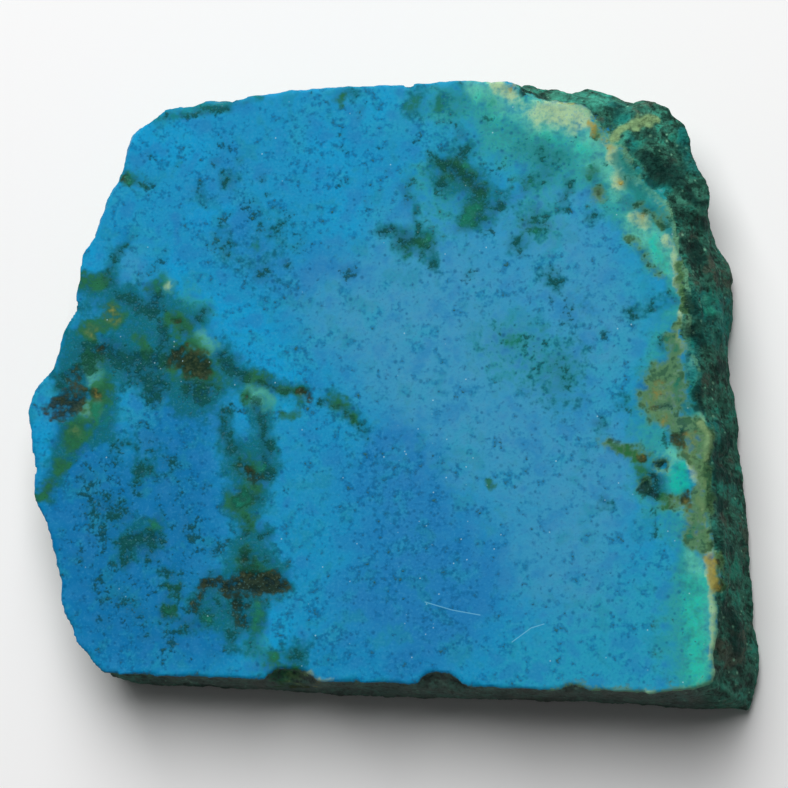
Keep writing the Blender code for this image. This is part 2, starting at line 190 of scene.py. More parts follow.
# Markings: for each paint, brush strokes. A stroke is its strength and then its points, each with its half
# width: (strength, (across, down, half width), ...). Grains aren't painted, but scattered more thickly where
# the strokes are stronger. The last three say where the rind reaches over the shoulder, and where there are
# more flecks and more glints.
MARKS = {
    "bright": [
        (0.8, (150, 140, 22), (190, 150, 26)), (0.8, (200, 215, 16), (226, 214, 10)),
        (1.0, (178, 262, 8), (179, 290, 12)),
        (1.0, (205, 300, 10), (245, 325, 22), (262, 350, 22), (290, 372, 10)),
        (0.9, (262, 610, 10), (285, 625, 14), (280, 645, 14)), (0.8, (86, 262, 9), (94, 254, 8)),
        (1.0, (40, 425, 9), (46, 458, 8)), (1.0, (117, 334, 10)), (0.9, (265, 404, 8), (285, 408, 12)),
        (0.7, (380, 110, 20), (385, 95, 12)), (0.6, (330, 150, 30), (345, 215, 30)), (0.7, (248, 418, 9)),
        (0.7, (176, 338, 6), (188, 340, 5)),
    ],
    "deep": [
        (1.0, (75, 450, 30), (70, 540, 36), (110, 620, 44)), (1.0, (120, 500, 50), (150, 560, 60)),
        (0.9, (180, 420, 40), (190, 500, 40)), (0.9, (200, 640, 36), (150, 640, 30)),
        (0.5, (330, 660, 26), (420, 665, 22)), (0.5, (120, 240, 14)), (0.9, (218, 608, 12)),
    ],
    # Where the painted reflection of the lamp lies on the face.
    "painted_sheen": [
        (0.9, (440, 300, 90), (500, 420, 90)), (0.8, (560, 230, 50), (600, 330, 40)),
        (0.6, (330, 300, 40), (380, 340, 50)), (0.8, (600, 470, 50), (560, 560, 60)), (0.7, (420, 380, 40)),
        (0.6, (132, 266, 16)),
    ],
    "turquoise": [
        (0.9, (690, 600, 50), (640, 650, 60)), (0.8, (600, 640, 50), (520, 670, 30)),
        (0.6, (610, 280, 34), (622, 350, 34), (605, 400, 30)), (0.5, (600, 500, 36), (612, 560, 36)),
        (0.8, (450, 110, 50), (500, 150, 30)), (0.6, (650, 330, 30), (640, 300, 30)), (0.8, (380, 110, 30)),
        (0.9, (560, 150, 40), (620, 200, 30)), (1.0, (52, 392, 8)), (0.9, (118, 378, 8)),
        (0.8, (186, 302, 10), (205, 310, 8)),
    ],
    "violet": [
        (0.9, (400, 440, 30), (420, 520, 50), (450, 570, 40)), (0.9, (380, 600, 50), (460, 610, 40)),
        (0.5, (350, 480, 40)), (0.6, (480, 560, 40)), (0.6, (205, 200, 30), (250, 250, 30), (300, 290, 20)),
        (0.6, (420, 640, 40)), (0.7, (178, 222, 5), (176, 242, 5)), (0.6, (235, 160, 20)),
        (0.7, (320, 260, 20), (350, 275, 16)),
    ],
    "sea": [
        (0.9, (500, 132, 26), (560, 150, 28), (600, 176, 22), (632, 215, 18), (656, 262, 13)),
        (0.7, (440, 106, 16), (480, 102, 18)), (1.0, (520, 98, 6), (545, 101, 6), (562, 102, 5)),
        (0.8, (660, 225, 16), (672, 270, 8), (680, 320, 7)),
        (0.9, (688, 560, 12), (694, 620, 13), (697, 682, 13)), (0.5, (676, 600, 22), (680, 660, 22)),
        (0.6, (670, 320, 12), (662, 366, 20), (652, 408, 20)),
        (0.7, (655, 440, 22), (650, 470, 20), (662, 502, 22)), (0.7, (684, 530, 18)),
        (0.9, (702, 420, 8), (706, 480, 6), (706, 536, 6)),
        (1.0, (614, 158, 10), (632, 176, 12), (652, 196, 14), (668, 222, 12)),
        (0.8, (596, 128, 8), (608, 146, 8)),
        (1.0, (616, 150, 8), (632, 168, 8), (648, 190, 8), (664, 206, 8), (674, 225, 6)),
        (0.5, (430, 180, 24), (470, 204, 26)), (0.4, (418, 240, 24)), (0.4, (510, 345, 34), (556, 370, 30)),
        (0.6, (188, 300, 12), (206, 312, 10)), (0.9, (248, 390, 9), (262, 400, 10), (269, 403, 7)),
        (0.6, (256, 636, 10), (262, 660, 12)), (0.5, (535, 190, 22), (540, 222, 22)),
    ],
    "mint": [
        (0.9, (474, 86, 7), (498, 90, 7)), (0.55, (484, 96, 9), (500, 106, 9)),
        (0.9, (532, 121, 8), (548, 123, 11), (566, 121, 7)),
        (0.6, (508, 103, 8), (520, 106, 7), (545, 106, 6)), (0.9, (507, 86, 5), (515, 93, 4)),
        (0.5, (92, 408, 7)), (0.6, (580, 139, 7), (592, 144, 8)), (0.9, (592, 140, 7)),
        (0.8, (597, 160, 9), (605, 170, 8)), (0.9, (612, 178, 5), (618, 188, 7)),
        (1.0, (640, 236, 8), (655, 240, 9), (664, 262, 9)), (0.7, (630, 215, 5), (632, 228, 6)),
        (0.7, (680, 462, 9)), (0.9, (672, 455, 6), (690, 454, 5)), (0.75, (705, 590, 10), (707, 684, 10)),
        (0.8, (684, 512, 4), (690, 518, 4)), (0.8, (694, 556, 6), (698, 568, 6)),
        (0.8, (204, 336, 5), (208, 348, 7)), (0.45, (165, 285, 6)), (0.6, (251, 389, 6), (263, 399, 8)),
        (0.9, (92, 368, 6), (93, 380, 5)), (0.8, (88, 409, 6)), (0.6, (682, 345, 5), (688, 372, 6)),
        (0.7, (695, 412, 5), (702, 428, 6)),
    ],
    "jade": [
        (1.0, (680, 470, 8), (681, 480, 10), (682, 490, 8)), (0.6, (650, 240, 7), (664, 264, 7)),
        (0.6, (698, 590, 14), (702, 684, 14)), (0.5, (578, 140, 6), (590, 156, 7)),
        (0.4, (538, 134, 8), (556, 140, 7)), (0.3, (478, 98, 9), (500, 118, 8)),
    ],
    "cream": [
        (0.45, (536, 117, 7), (560, 121, 9), (582, 120, 7)),
        (0.7, (701, 418, 2), (707, 436, 3), (702, 452, 2), (700, 475, 2), (704, 520, 2), (709, 556, 3)),
        (0.35, (614, 160, 5), (630, 178, 4), (648, 192, 4), (664, 206, 3)),
        (1.0, (496, 84, 5), (506, 88, 6), (512, 94, 3)), (0.3, (512, 100, 5), (530, 107, 5)),
        (1.0, (550, 110, 7), (568, 110, 10), (582, 115, 8)), (1.0, (609, 148, 4), (613, 156, 4)),
        (1.0, (619, 181, 6)), (0.8, (636, 217, 6), (644, 221, 5)),
        (0.8, (666, 238, 3), (673, 250, 3), (677, 268, 2), (679, 290, 2)),
        (0.8, (680, 316, 3), (678, 332, 2), (676, 352, 3)), (0.9, (692, 453, 3), (695, 480, 4)),
        (0.7, (700, 425, 3), (704, 441, 3)),
        (0.9, (705, 555, 2), (706, 574, 3), (711, 592, 2), (714, 604, 2), (715, 640, 2), (714, 684, 2)),
        (1.0, (309, 676, 3)), (0.6, (316, 679, 2), (330, 680, 2)), (0.5, (289, 674, 1)),
        (0.6, (646, 691, 2), (653, 692, 2)), (0.7, (164, 286, 3)),
        (0.6, (186, 347, 2), (200, 353, 3), (208, 360, 2)), (0.7, (648, 404, 3), (657, 413, 3)),
    ],
    "stain": [
        # the north-west
        (0.6, (104, 276, 6), (112, 262, 6), (122, 248, 5)), (0.4, (228, 252, 11), (222, 236, 9)),
        (0.4, (265, 270, 16), (272, 232, 14)), (0.4, (200, 195, 9)), (0.6, (229, 182, 8)),
        # the web of veins in the west
        (0.6, (98, 300, 18), (150, 308, 20), (190, 336, 16)),
        (0.7, (88, 345, 16), (150, 364, 18), (205, 382, 18)),
        (0.7, (78, 384, 16), (94, 414, 16), (66, 452, 9)), (1.0, (85, 284, 8), (108, 280, 8)),
        (0.65, (118, 300, 12), (140, 308, 13), (158, 300, 12)), (0.7, (135, 325, 12), (150, 335, 11)),
        (0.8, (185, 322, 13), (200, 318, 9)), (0.8, (70, 345, 10), (68, 362, 8)),
        (1.0, (84, 355, 14), (110, 358, 14), (150, 362, 10), (168, 358, 10)),
        (1.0, (75, 375, 12), (60, 388, 8)), (0.8, (163, 335, 6), (163, 350, 6)),
        (0.8, (100, 385, 12), (106, 400, 9)), (0.9, (95, 412, 14), (105, 425, 8)),
        (0.9, (78, 425, 14), (62, 450, 10), (56, 475, 8), (45, 492, 7)),
        (0.7, (135, 375, 13), (155, 385, 15)), (0.8, (195, 390, 20)),
        (0.9, (222, 362, 13), (240, 376, 10), (265, 384, 8), (300, 394, 7)),
        (0.7, (330, 400, 8), (348, 413, 8)), (0.35, (350, 415, 7), (367, 432, 7)),
        # the vein that runs south
        (0.5, (248, 455, 16), (248, 475, 20), (246, 500, 14)),
        (0.6, (250, 545, 16), (252, 590, 20), (230, 610, 20)),
        (0.8, (223, 420, 7), (227, 440, 10), (238, 463, 11)),
        (0.9, (258, 400, 8), (263, 430, 8), (266, 465, 9)), (0.9, (252, 470, 14)),
        (0.8, (250, 490, 10), (240, 503, 12)), (0.6, (256, 498, 10)), (0.5, (250, 523, 10)),
        (0.7, (245, 540, 9), (262, 537, 8)), (1.0, (247, 561, 14)), (0.8, (268, 565, 9)),
        (0.9, (245, 584, 12), (276, 582, 12)), (0.8, (215, 586, 13), (198, 600, 9)), (0.6, (205, 617, 10)),
        (0.9, (242, 612, 13)), (0.9, (257, 610, 8), (254, 632, 7)), (0.6, (254, 650, 6), (265, 662, 9)),
        (0.8, (290, 665, 13)), (0.6, (300, 650, 11)), (0.6, (232, 636, 9)),
        # the south-west
        (0.4, (112, 510, 12), (128, 515, 10)), (0.9, (125, 545, 12), (150, 538, 12)), (0.8, (124, 562, 7)),
        (0.6, (141, 471, 8)), (0.5, (170, 575, 9), (175, 592, 8)), (0.8, (167, 611, 8)),
        (0.6, (185, 625, 8)), (0.5, (155, 525, 9)), (0.35, (120, 440, 14), (150, 462, 20)),
        # the north
        (0.6, (345, 92, 9), (352, 96, 6)), (0.5, (412, 95, 8), (416, 110, 9)), (0.6, (437, 103, 6)),
        (0.45, (455, 100, 12)), (0.9, (450, 170, 13), (470, 178, 11), (484, 188, 8)),
        (0.6, (460, 190, 15), (478, 205, 13)), (0.7, (480, 215, 10), (468, 222, 9)), (0.5, (438, 172, 9)),
        (0.5, (470, 150, 9)), (0.5, (458, 135, 7)), (0.8, (382, 233, 5), (395, 232, 6)),
        (0.9, (405, 242, 10)), (0.6, (425, 245, 10)), (0.6, (432, 260, 8), (436, 268, 5)),
        (0.5, (414, 205, 5), (417, 225, 3)), (0.4, (408, 190, 9)),
        # the north-east
        (0.22, (530, 140, 12), (545, 150, 12)), (0.22, (520, 150, 9), (560, 160, 13)), (0.5, (528, 183, 8)),
        (0.43, (545, 172, 9)), (0.5, (569, 180, 4), (565, 195, 4), (562, 210, 3)),
        (0.36, (592, 172, 6), (598, 190, 7)), (0.5, (592, 218, 6)), (0.5, (535, 222, 13)),
        (0.6, (518, 246, 9)), (0.5, (552, 282, 11)), (0.5, (505, 195, 9), (500, 210, 8)),
        # east of the middle
        (0.2, (490, 340, 16), (520, 350, 26), (545, 375, 22)), (0.3, (570, 360, 18), (560, 390, 20)),
        (0.3, (580, 310, 12)),
        # the east
        (0.5, (632, 312, 9), (655, 304, 8), (672, 300, 6)), (0.4, (625, 405, 9)),
        (0.9, (656, 490, 9), (650, 478, 9), (660, 480, 5)), (0.5, (601, 426, 7)), (0.5, (607, 503, 5)),
        (0.6, (661, 345, 4)),
    ],
    "teal": [
        (0.45, (630, 172, 6), (646, 200, 12), (664, 226, 8)), (0.7, (618, 112, 9), (606, 128, 7)),
        (0.9, (688, 350, 7), (690, 376, 8), (690, 405, 7)), (0.6, (700, 300, 9), (714, 330, 12)),
        (0.5, (285, 674, 10)), (0.5, (712, 430, 8), (709, 470, 6), (712, 530, 6)),
        (1.0, (152, 121, 3), (170, 114, 6), (205, 108, 6), (240, 101, 4), (262, 97, 2)),
        (0.5, (572, 97, 6), (600, 102, 7)), (1.0, (682, 132, 5), (685, 150, 6), (692, 168, 6)),
        (0.8, (655, 205, 9), (648, 215, 7)), (0.8, (633, 144, 6)),
        (1.0, (618, 156, 5), (634, 176, 9), (652, 196, 7)), (0.8, (664, 192, 5)),
        (0.8, (723, 300, 8), (716, 328, 10)), (0.7, (690, 345, 6), (694, 375, 7)), (0.8, (690, 405, 7)),
        (0.6, (712, 430, 7), (715, 450, 6)), (0.5, (728, 487, 5)), (0.35, (548, 150, 10), (566, 154, 8)),
    ],
    "olive": [
        (0.6, (125, 174, 5), (136, 181, 6)), (0.8, (86, 281, 6), (104, 279, 5)),
        (0.8, (144, 288, 4), (154, 284, 4)), (1.0, (111, 317, 8)), (1.0, (91, 330, 7)), (0.8, (100, 324, 5)),
        (1.0, (173, 322, 6), (186, 327, 6)), (0.8, (142, 338, 5), (144, 352, 4)),
        (0.9, (86, 362, 7), (98, 361, 6)), (1.0, (104, 384, 6), (98, 396, 8)),
        (1.0, (80, 428, 7), (72, 444, 7)), (0.7, (92, 420, 6)), (0.9, (60, 468, 6)),
        (0.9, (48, 485, 5), (40, 497, 4)), (0.9, (188, 360, 16), (206, 376, 11)),
        (0.8, (250, 377, 5), (265, 383, 5)), (0.8, (282, 390, 4), (300, 394, 4)),
        (0.9, (330, 401, 4), (341, 405, 5)), (0.6, (352, 418, 4)), (0.8, (246, 397, 5)),
        (0.7, (286, 417, 4), (296, 412, 4)), (0.8, (250, 468, 9)), (0.9, (256, 487, 6)),
        (0.9, (239, 502, 8)), (0.7, (250, 523, 7)), (0.8, (248, 560, 8)), (0.8, (258, 574, 9)),
        (0.5, (257, 612, 5), (254, 630, 4)), (0.6, (270, 664, 6)), (0.8, (286, 672, 9)),
        (0.4, (154, 524, 5)), (0.8, (168, 610, 5)), (0.4, (174, 592, 5)), (0.6, (340, 98, 6)),
        (0.2, (414, 104, 6)), (0.35, (437, 105, 4)), (0.3, (405, 243, 8)), (0.3, (425, 246, 7)),
        (0.4, (450, 168, 8), (468, 175, 8), (482, 186, 6)), (0.3, (468, 216, 7)), (0.25, (482, 210, 7)),
        (0.35, (528, 226, 7)), (1.0, (490, 486, 4)), (0.6, (612, 447, 4), (630, 454, 5), (646, 460, 6)),
        (0.7, (642, 470, 5)), (0.5, (655, 492, 5), (662, 501, 5)),
    ],
    "khaki": [
        (1.0, (597, 195, 6)), (0.3, (590, 176, 6)),
        (0.6, (627, 208, 3), (640, 206, 4), (653, 214, 3), (662, 228, 3)), (0.8, (600, 134, 5)),
        (0.5, (664, 214, 5)), (0.55, (627, 236, 3), (640, 250, 4), (652, 268, 3), (664, 278, 3)),
        (0.9, (680, 262, 3), (682, 290, 3), (685, 312, 3)),
        (0.85, (677, 326, 4), (673, 340, 6), (672, 362, 7)), (0.8, (660, 370, 7), (672, 376, 9)),
        (1.0, (655, 390, 11), (673, 388, 8)), (1.0, (658, 404, 12), (676, 402, 8)),
        (1.0, (668, 418, 6), (682, 430, 8), (690, 445, 9)), (0.9, (702, 536, 6), (700, 544, 6)),
        (0.9, (717, 558, 4), (719, 588, 4)), (0.8, (704, 470, 5), (706, 510, 5)), (0.6, (92, 408, 8)),
        (1.0, (702, 438, 8), (690, 423, 6)), (1.0, (700, 439, 6), (702, 455, 5)),
        (0.7, (606, 442, 5), (622, 450, 5), (646, 456, 6)), (0.5, (662, 502, 6)),
        (0.9, (674, 503, 5), (688, 505, 6)), (1.0, (694, 520, 7), (690, 533, 8)),
        (0.9, (698, 490, 4), (703, 520, 5)), (0.9, (697, 460, 3), (698, 490, 3)),
    ],
    "grains": [
        # the north-west
        (1.0, (164, 114, 4)), (0.9, (183, 118, 3), (205, 111, 5), (228, 106, 4)),
        (0.8, (128, 176, 5), (138, 183, 6), (148, 188, 4)), (0.6, (150, 156, 5)), (0.6, (174, 165, 4)),
        (0.9, (228, 181, 7)), (0.8, (196, 190, 5)), (0.7, (207, 203, 4)), (0.6, (215, 165, 8)),
        (0.8, (263, 177, 5)), (0.7, (270, 195, 5)), (1.0, (224, 221, 6), (229, 217, 4)),
        (0.8, (214, 235, 4), (212, 247, 4)), (0.8, (224, 243, 6), (228, 256, 5)), (0.5, (250, 210, 12)),
        (0.6, (262, 226, 5)), (0.6, (278, 230, 8)), (0.6, (290, 215, 6)), (0.7, (285, 262, 6)),
        (0.8, (260, 278, 7), (265, 270, 7)), (0.5, (300, 245, 10)), (0.7, (311, 93, 4)),
        (0.7, (106, 274, 5), (114, 258, 4), (124, 248, 3)), (0.6, (150, 270, 6), (165, 258, 6)),
        (0.5, (240, 160, 6)), (0.5, (225, 145, 8)), (0.5, (128, 240, 5)),
        # the web of veins in the west
        (0.8, (120, 298, 8), (132, 303, 8)), (1.0, (152, 296, 8), (155, 310, 10)), (0.7, (140, 305, 8)),
        (0.7, (112, 283, 5)), (0.9, (195, 320, 8), (205, 314, 5)), (0.8, (182, 332, 5)),
        (0.9, (162, 325, 5), (163, 345, 6)),
        (1.0, (84, 352, 10), (105, 352, 11), (120, 360, 11), (145, 360, 10), (168, 360, 10)),
        (0.9, (90, 365, 9), (72, 375, 9), (60, 385, 7)), (0.9, (135, 374, 13), (155, 384, 13)),
        (1.0, (153, 396, 10)), (1.0, (178, 352, 5), (172, 362, 5)),
        (1.0, (222, 358, 8), (232, 370, 8), (248, 380, 5)),
        (1.0, (190, 386, 10), (207, 390, 11), (200, 400, 7)),
        (0.9, (262, 384, 5), (282, 391, 4), (300, 395, 4)),
        (0.8, (320, 400, 3), (340, 408, 4), (350, 418, 4)), (0.5, (352, 420, 4), (367, 434, 3)),
        (0.8, (246, 398, 5)), (0.45, (228, 404, 6), (236, 410, 5)), (0.8, (62, 406, 8)),
        # the vein that runs south
        (0.8, (221, 412, 5), (225, 430, 8), (232, 452, 8)),
        (0.9, (258, 402, 5), (262, 425, 5), (267, 445, 6), (268, 465, 6)),
        (1.0, (243, 468, 8), (255, 478, 7), (268, 476, 6)), (0.8, (255, 498, 8)), (1.0, (240, 501, 9)),
        (0.6, (248, 522, 7)), (0.9, (244, 535, 6)), (0.8, (264, 537, 6)),
        (1.0, (246, 556, 9), (248, 568, 11)), (0.6, (268, 560, 7)),
        (1.0, (243, 584, 9), (262, 584, 12), (280, 585, 7)), (0.9, (210, 586, 9), (228, 588, 6)),
        (0.9, (200, 596, 5), (193, 608, 6)), (0.8, (205, 616, 8)), (0.7, (220, 606, 8)),
        (1.0, (241, 606, 10), (242, 620, 10)), (0.6, (232, 636, 8)), (0.6, (255, 645, 5)),
        (0.7, (296, 655, 9)), (0.45, (284, 680, 9), (302, 678, 8)), (0.8, (212, 552, 6), (224, 540, 5)),
        (0.7, (206, 487, 5)), (0.5, (290, 485, 8)), (0.5, (270, 603, 8)),
        # the south-west
        (0.34, (110, 470, 24), (96, 540, 30), (125, 600, 34)),
        (0.34, (165, 470, 22), (190, 550, 26), (175, 640, 24)), (0.7, (108, 508, 9), (125, 512, 9)),
        (1.0, (124, 545, 9), (133, 538, 8), (150, 536, 8), (160, 538, 6)), (0.9, (122, 562, 7)),
        (0.8, (141, 471, 7)), (0.6, (118, 443, 8)), (0.5, (150, 440, 12)), (0.6, (170, 462, 7)),
        (0.6, (140, 490, 7)), (0.7, (150, 552, 10)), (0.8, (168, 573, 5)), (0.9, (175, 592, 6)),
        (0.8, (167, 612, 7)), (0.8, (186, 624, 7)), (0.8, (171, 644, 6)), (0.6, (103, 603, 6)),
        (0.5, (100, 625, 8)), (0.6, (145, 638, 6)), (0.6, (168, 632, 6)),
        (0.5, (85, 480, 10), (100, 530, 10)), (0.5, (80, 560, 8)), (0.6, (95, 585, 6)),
        (0.5, (122, 600, 8), (140, 615, 8)), (0.5, (190, 530, 10)), (0.5, (215, 655, 8)),
        # the north
        (0.6, (348, 92, 5), (354, 97, 4)), (0.6, (363, 115, 5), (366, 108, 4)), (0.6, (338, 131, 5)),
        (0.6, (347, 152, 4), (344, 145, 4)), (0.5, (380, 150, 5)), (0.5, (388, 170, 5)),
        (0.6, (416, 142, 5)), (0.7, (452, 124, 4), (460, 137, 5)), (0.6, (487, 120, 8)),
        (0.7, (466, 150, 5)), (0.7, (430, 157, 7)),
        (1.0, (444, 165, 7), (455, 170, 9), (468, 178, 8), (482, 187, 7)), (0.9, (441, 180, 5)),
        (0.8, (466, 157, 7)), (0.7, (438, 192, 5)), (0.8, (478, 198, 7), (480, 215, 9)),
        (0.8, (465, 216, 6)), (0.8, (462, 228, 5)), (0.7, (490, 205, 7), (500, 205, 6)),
        (1.0, (380, 237, 4), (385, 231, 3), (394, 231, 4)), (1.0, (402, 242, 9), (410, 240, 7)),
        (0.7, (424, 244, 8), (430, 250, 6)), (0.7, (418, 228, 3), (416, 215, 2)), (0.8, (420, 256, 4)),
        (0.9, (434, 266, 5)), (0.7, (408, 190, 7), (405, 200, 5)), (0.6, (415, 182, 5)),
        (0.7, (490, 231, 5)), (0.5, (470, 275, 8)), (0.7, (346, 275, 6), (358, 272, 4)),
        (0.5, (340, 185, 6)), (0.7, (369, 201, 3)),
        # the north-east
        (0.36, (530, 138, 9), (545, 142, 8)), (0.43, (540, 155, 10), (560, 158, 8)), (0.43, (575, 135, 6)),
        (0.65, (525, 186, 6), (528, 176, 6)), (0.5, (545, 178, 9)),
        (0.65, (570, 178, 4), (566, 190, 5), (562, 200, 4)), (0.6, (565, 210, 4)),
        (0.58, (592, 170, 5), (597, 196, 7)), (0.8, (592, 218, 5)),
        (0.75, (538, 218, 8), (530, 226, 9), (545, 226, 6)), (0.65, (515, 240, 7), (518, 255, 6)),
        (0.7, (502, 200, 6), (500, 212, 5)), (0.6, (550, 275, 8), (555, 286, 8)),
        (0.7, (620, 198, 5), (650, 213, 6)), (0.6, (640, 250, 4), (646, 262, 5), (658, 272, 4)),
        (0.7, (670, 232, 5), (665, 222, 6)), (0.36, (500, 165, 12)), (0.36, (600, 145, 8)),
        (0.7, (606, 165, 4)), (0.45, (632, 178, 7)),
        # east of the middle
        (0.4, (495, 335, 10), (540, 345, 12)), (0.5, (563, 386, 8), (560, 362, 8)),
        (0.5, (570, 300, 7), (565, 320, 6)), (0.5, (600, 335, 6)), (0.38, (540, 370, 14)),
        # the east
        (0.8, (628, 311, 4), (634, 320, 4)), (0.8, (656, 309, 3), (648, 298, 4)),
        (0.8, (672, 300, 5), (678, 300, 3)), (0.6, (668, 290, 5)), (0.9, (661, 345, 3), (662, 338, 3)),
        (0.7, (603, 333, 4)), (0.6, (625, 405, 6), (634, 416, 4)),
        (1.0, (652, 408, 2), (662, 409, 3), (672, 408, 3)), (0.9, (662, 394, 2)),
        (0.8, (682, 430, 2), (683, 440, 2)), (0.9, (664, 440, 5)), (1.0, (655, 480, 7), (652, 495, 7)),
        (1.0, (645, 488, 7)), (0.6, (657, 470, 8)), (0.9, (650, 508, 3), (655, 520, 2), (657, 537, 3)),
        (0.6, (612, 446, 4)), (0.7, (688, 528, 4)), (0.6, (600, 425, 6)), (0.5, (608, 503, 5)),
    ],
    "brown": [
        (0.8, (127, 177, 3)), (1.0, (184, 360, 11), (193, 363, 12), (202, 370, 9)),
        (0.6, (86, 391, 6), (96, 394, 5)), (1.0, (54, 410, 9), (64, 406, 11), (76, 400, 8)),
        (0.9, (58, 414, 7)), (0.7, (103, 350, 5)), (0.7, (75, 378, 7)), (0.7, (178, 325, 4)),
        (0.3, (245, 397, 3)), (0.9, (300, 394, 3), (310, 396, 4)), (0.7, (246, 470, 6), (258, 478, 5)),
        (0.6, (248, 560, 5)), (1.0, (239, 584, 8), (258, 586, 12), (277, 584, 9)),
        (0.9, (206, 585, 7), (230, 586, 7)), (0.4, (200, 596, 4), (194, 606, 4)),
        (0.5, (242, 606, 6), (243, 620, 7)), (0.3, (284, 683, 7), (302, 683, 7)), (0.9, (646, 461, 5)),
        (0.8, (672, 436, 3), (682, 441, 5)), (1.0, (688, 502, 6)), (0.4, (672, 503, 4)),
        (0.7, (718, 562, 2), (720, 584, 2)), (0.6, (597, 195, 4)),
    ],
    "ochre": [
        (0.2, (92, 331, 5)), (0.35, (111, 317, 6)), (0.2, (97, 394, 5)), (0.15, (78, 433, 5)),
        (0.2, (656, 402, 8)), (0.3, (662, 389, 6)), (0.5, (690, 442, 5)), (0.5, (664, 421, 4)),
        (0.3, (645, 457, 4)), (0.25, (690, 506, 5)), (1.0, (708, 556, 4), (713, 586, 4)),
        (0.4, (316, 681, 3)), (0.4, (589, 121, 2), (596, 131, 4)), (0.5, (604, 143, 3), (609, 149, 3)),
        (0.9, (509, 83, 3)), (0.4, (560, 103, 2), (576, 105, 3)), (0.25, (638, 218, 5)),
        (0.3, (620, 181, 3)),
    ],
    "leaf": [
        (0.7, (132, 176, 4)), (0.9, (150, 284, 4), (160, 280, 4)), (0.7, (100, 410, 8)),
        (0.9, (262, 465, 4)), (0.4, (240, 500, 5)), (0.2, (205, 618, 6)),
        (0.4, (256, 606, 5), (255, 630, 4)), (0.4, (268, 662, 5)), (0.5, (156, 524, 4)),
        (0.3, (168, 611, 4)), (0.8, (257, 246, 4)), (0.6, (178, 167, 3)), (0.5, (437, 104, 4)),
        (0.3, (412, 102, 6)), (0.4, (470, 165, 4)), (0.4, (478, 180, 3)),
        (0.7, (467, 217, 4), (462, 226, 3)), (0.35, (480, 210, 8)), (0.3, (410, 250, 5)),
        (0.3, (425, 240, 4)), (0.3, (490, 102, 8)), (0.6, (528, 183, 4)), (0.3, (535, 228, 6)),
        (0.6, (592, 175, 6)), (0.6, (510, 340, 6)), (0.6, (545, 328, 4)), (0.6, (672, 345, 5)),
        (0.6, (676, 400, 4), (676, 385, 4)), (0.6, (690, 532, 5), (698, 530, 4)), (0.7, (711, 310, 5)),
        (0.6, (715, 294, 5)), (0.6, (733, 570, 6)), (0.5, (704, 445, 5)), (0.5, (687, 340, 4)),
    ],
    "patina_and_painted_light": [
        (0.8, (558, 97, 4), (580, 97, 5), (600, 103, 6)), (0.6, (645, 112, 5), (660, 119, 4)),
        (0.5, (625, 140, 5), (620, 146, 4)), (0.7, (272, 670, 4), (279, 666, 3)),
        (0.5, (278, 671, 4), (290, 669, 3)), (0.5, (716, 565, 3), (734, 572, 6)),
        (0.4, (708, 450, 4), (706, 480, 4)), (0.4, (722, 255, 3), (712, 235, 4)),
        # The last stroke on the next line lightens the south-east corner: painted light on a corner that faces
        # away from the lamp.
        (0.4, (706, 300, 5), (722, 318, 5)), (0.5, (714, 328, 7)), (0.35, (715, 688, 8), (740, 690, 8)),
    ],
    "lichen_and_painted_light": [
        (0.95, (612, 140, 3), (622, 130, 4), (633, 123, 4), (645, 120, 4), (656, 122, 3)),
        (0.5, (700, 425, 4), (707, 440, 4), (703, 458, 3)), (0.3, (702, 480, 2), (705, 520, 3)),
        # The last stroke on the next line lightens the notch in the south rim: painted light where the notch
        # lies in shade.
        (0.5, (676, 330, 2), (682, 352, 2)), (0.35, (286, 674, 5), (302, 676, 6)),
    ],
    "black": [
        (0.5, (597, 114, 4), (610, 120, 7), (621, 112, 6)), (0.4, (636, 136, 4), (650, 132, 4)),
        (0.5, (634, 150, 6)), (0.6, (671, 186, 8), (682, 168, 7)), (0.5, (616, 109, 6)),
        (0.7, (520, 91, 3), (536, 96, 3), (545, 99, 3)), (1.0, (650, 160, 8), (664, 174, 11), (652, 182, 8)),
        (0.6, (678, 178, 8)), (0.4, (645, 140, 7), (655, 134, 5)), (0.6, (672, 165, 6)),
        (0.75, (690, 194, 8), (700, 202, 5)), (0.35, (210, 586, 8), (250, 590, 11), (280, 588, 8)),
        (0.4, (242, 600, 7), (243, 620, 7)), (0.7, (680, 218, 6), (695, 222, 6), (706, 224, 5)),
        (0.8, (692, 245, 8), (698, 262, 8)), (0.8, (690, 300, 8), (698, 310, 6)),
        (0.8, (692, 332, 7), (700, 345, 6)), (0.7, (722, 365, 8)), (0.9, (698, 392, 7), (698, 405, 6)),
        (0.7, (718, 408, 7)), (0.7, (724, 430, 5), (726, 450, 5)), (0.8, (720, 470, 8), (728, 480, 7)),
        (0.7, (720, 505, 8)), (0.7, (715, 535, 8), (725, 550, 8)), (0.7, (730, 610, 9), (735, 650, 9)),
        (0.7, (658, 466, 3), (665, 468, 4)), (1.0, (644, 485, 5), (652, 492, 5)), (0.9, (655, 476, 4)),
    ],
    "rind": [
        (1.0, (518, 88, 6), (548, 94, 8), (580, 96, 8)),
        (1.0, (688, 240, 10), (691, 300, 9), (690, 335, 9), (694, 380, 9), (703, 414, 7)),
        (1.0, (584, 98, 9), (602, 108, 14), (628, 124, 24), (660, 150, 30), (694, 180, 22), (702, 216, 26)),
    ],
    "speckle": [
        (0.9, (90, 500, 40), (120, 640, 50)), (0.9, (180, 440, 40), (210, 520, 30)),
        (1.0, (350, 450, 30), (420, 520, 50), (440, 600, 50)), (0.8, (330, 620, 50), (380, 660, 30)),
        (0.7, (200, 150, 50), (250, 180, 40), (330, 170, 40)), (0.7, (430, 140, 30), (470, 130, 20)),
        (0.7, (260, 260, 30), (310, 300, 20)), (0.5, (540, 320, 60), (560, 400, 40)),
    ],
    # Where the painted white glints lie thicker.
    "sparkle": [
